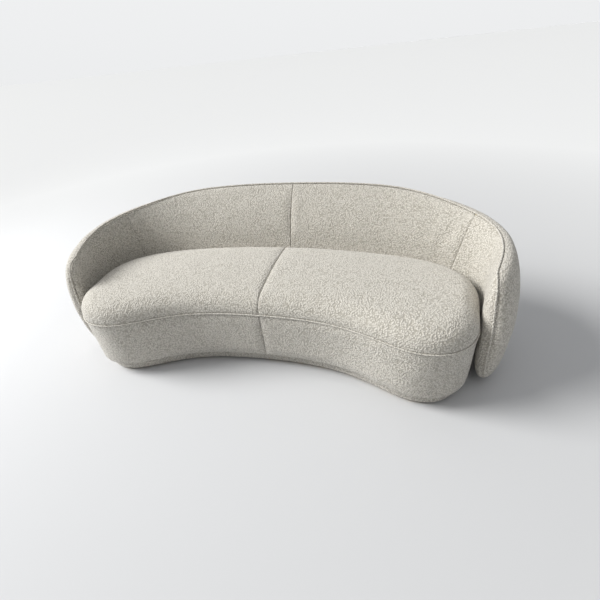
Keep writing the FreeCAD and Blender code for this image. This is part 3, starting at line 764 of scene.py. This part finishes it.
def makeWelt():
    u = np.concatenate([np.linspace(0, shell["endFrom"], 420, endpoint=False),
                        endStations(shell["endFrom"], 3.2)])
    topLine = shellPoint(u, seamedAt(u, np.full_like(u, math.pi / 2)))
    lowU = u[u > shell["endFrom"]][::-1]
    lowLine = shellPoint(lowU, seamedAt(lowU, np.full_like(lowU, 3 * math.pi / 2)))
    lowLine = lowLine[lowLine[:, 2] > shell["weltLow"]]
    half = np.concatenate([topLine, lowLine[1:]])
    gap = np.concatenate([[True], np.linalg.norm(np.diff(half, axis=0), axis=1) > 0.6])
    half = half[gap]
    way = np.gradient(half, axis=0)
    way /= np.linalg.norm(way, axis=1, keepdims=True)
    heading = np.interp(np.concatenate([u, lowU[:len(lowLine)][1:]])[gap], pathU, pathHeading)
    out = np.stack([np.sin(heading), np.cos(heading), np.zeros_like(heading)], axis=-1)
    lift = np.cross(out, way)
    lift /= np.linalg.norm(lift, axis=1, keepdims=True)
    lift *= np.where(lift[:1, 2:] < 0, -1, 1)
    centre = half + lift * 1.6
    flip = np.array([-1, 1, 1])
    path = np.concatenate([(centre * flip)[::-1], centre[1:]])
    lifts = np.concatenate([(lift * flip)[::-1], lift[1:]])
    piece = cordMesh("back_welt_cord", path, lifts, shell["welt"], False)
    finishPiece(piece, "piping", ["back_welt"])
    print("welt made")


makeSeatCovers()
makeSeatLayers()
makeRaisedSeam()
makePlinthCovers()
makeShellCovers()
makeWelt()

# Frame parts keep their own shape and get their material.
slotOf = {
    "foam": ["seat_foam_block"],
    "plywood": ["seat_side_panel", "seat_base_board", "seat_ring", "seat_frame_ribs", "plinth_ring",
                "back_inner_panel", "back_outer_panel", "back_bottom_rail", "back_top_rail", "back_uprights"],
    "beech": ["seat_cross_rails", "seat_joint_blocks", "wooden_feet", "back_wooden_feet",
              "back_joint_blocks"],
    "zinc_steel": ["foot_hanger_bolts", "back_foot_bolts", "joint_bolts", "joint_washers", "joint_nuts"],
    "webbing": ["seat_webbing"],
    "dust_cloth": ["seat_dust_cloth", "back_dust_cloth"],
    "felt": ["felt_glides"],
}
for slot, nodes in slotOf.items():
    for node in nodes:
        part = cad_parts[node]
        part.data.materials.clear()
        part.data.materials.append(finishes[slot])
print("frame parts finished")

# Floor, light and camera, in metres. The floor is lighter farther off, and the wall is bright only to the
# camera, so that it meets the floor without an edge.
studio = {
    "floor": "#cfd0d2", "floorFar": "#f0f1f2", "near": 1.6, "far": 5.0, "reach": 300.0,
    "roller": 12.0, "rollerDepth": 0.02,                # millimetres
    "air": "#f8f9fa",
    "airLow": 0.0, "airHigh": 0.72,                     # strength of the overhead light
    "wallLow": 0.90, "wallHigh": 0.93,                  # and of the wall behind, from the floor up
    "key": {"from": (-0.80, -0.08, 0.58), "spread": 26.0, "power": 2.9, "colour": "#fffefb"},
    "side": {"at": (-3.3, -0.7, 2.5), "size": 1.6, "power": 62.0, "colour": "#ffffff"},
}
camera = {"at": (0.5983, -1.6354, 1.3883), "heading": -0.2867, "pitch": 0.6109, "roll": -0.1083,
          "lens": 21.245}


def makeStage():
    # matt painted studio floor: pale grey under the sofa, nearly white farther off, faintly rolled
    material, floorTree, shader, place = newMaterial("studio paint rolled matt", {"Roughness": 0.9})
    away = addNode(floorTree, "ShaderNodeVectorMath", {"operation": "LENGTH"}, {0: place})
    share = addNode(floorTree, "ShaderNodeMapRange", {"From Min": studio["near"], "From Max": studio["far"]},
                    {"Value": away.outputs["Value"]})
    paint = toned(floorTree, share.outputs[0], [(0.0, studio["floor"]), (1.0, studio["floorFar"])])
    roller = addNode(floorTree, "ShaderNodeTexNoise", {"Scale": 1 / (studio["roller"] * mm), "Detail": 2.0},
                     {"Vector": place})
    bump = addNode(floorTree, "ShaderNodeBump", {"Strength": 0.3, "Distance": studio["rollerDepth"] * mm},
                   {"Height": roller.outputs["Fac"]})
    floorTree.links.new(paint, shader.inputs["Base Color"])
    floorTree.links.new(bump.outputs[0], shader.inputs["Normal"])
    mesh = bpy.data.meshes.new("studio floor")
    reach = studio["reach"]
    corners = [(-reach, -reach, 0), (reach, -reach, 0), (reach, reach, 0), (-reach, reach, 0)]
    mesh.from_pydata(corners, [], [(0, 1, 2, 3)])
    floor = bpy.data.objects.new("studio_floor", mesh)
    bpy.context.scene.collection.objects.link(floor)
    mesh.materials.append(material)
    world = bpy.data.worlds.new("studio air")
    world.use_nodes = True
    tree = world.node_tree
    sky = tree.nodes["Background"]
    sky.inputs["Color"].default_value = linear(studio["air"])
    way = addNode(tree, "ShaderNodeTexCoord").outputs["Generated"]
    rise = addNode(tree, "ShaderNodeSeparateXYZ", {}, {0: way}).outputs["Z"]
    overhead = addNode(tree, "ShaderNodeMapRange",
                       {"From Min": 0.0, "From Max": 1.0,
                        "To Min": studio["airLow"], "To Max": studio["airHigh"]},
                       {"Value": rise})
    wall = addNode(tree, "ShaderNodeMapRange",
                   {"From Min": 0.0, "From Max": 0.2,
                    "To Min": studio["wallLow"], "To Max": studio["wallHigh"]},
                   {"Value": rise})
    seen = addNode(tree, "ShaderNodeLightPath").outputs["Is Camera Ray"]
    strength = addNode(tree, "ShaderNodeMix", {"data_type": "FLOAT"},
                       {0: seen, 2: overhead.outputs[0], 3: wall.outputs[0]})
    tree.links.new(strength.outputs[0], sky.inputs["Strength"])
    bpy.context.scene.world = world


def makeLight(name, facts):         # one wide soft key, so far off that it falls evenly on the floor
    light = bpy.data.lights.new(name, "SUN")
    light.angle = math.radians(facts["spread"])
    light.energy = facts["power"]
    light.color = linear(facts["colour"])[:3]
    lamp = bpy.data.objects.new(name, light)
    bpy.context.scene.collection.objects.link(lamp)
    lamp.location = facts["from"]
    lamp.rotation_euler = (-Vector(facts["from"])).to_track_quat("-Z", "Y").to_euler()


def makeSoftbox(name, facts):       # lights the left more than the right
    light = bpy.data.lights.new(name, "AREA")
    light.shape = "DISK"
    light.size = facts["size"]
    light.energy = facts["power"]
    light.color = linear(facts["colour"])[:3]
    lamp = bpy.data.objects.new(name, light)
    bpy.context.scene.collection.objects.link(lamp)
    lamp.location = facts["at"]
    lamp.rotation_euler = (-Vector(facts["at"])).to_track_quat("-Z", "Y").to_euler()


def makeCamera():
    h, p, r = camera["heading"], camera["pitch"], camera["roll"]
    forward = Vector((math.sin(h) * math.cos(p), math.cos(h) * math.cos(p), -math.sin(p)))
    level = Vector((math.cos(h), -math.sin(h), 0))
    upright = level.cross(forward)
    right = math.cos(r) * level + math.sin(r) * upright
    top = -math.sin(r) * level + math.cos(r) * upright
    lens = bpy.data.cameras.new("camera")
    lens.lens = camera["lens"]
    lens.sensor_width = 36.0
    lens.clip_end = 200
    eye = bpy.data.objects.new("camera", lens)
    bpy.context.scene.collection.objects.link(eye)
    turn = Matrix((right, top, -forward)).transposed()
    eye.matrix_world = Matrix.Translation(camera["at"]) @ turn.to_4x4()
    bpy.context.scene.camera = eye


makeStage()
makeLight("key light", studio["key"])
makeSoftbox("side softbox", studio["side"])
makeCamera()
bpy.context.scene.view_settings.view_transform = "Standard"
print("studio ready")
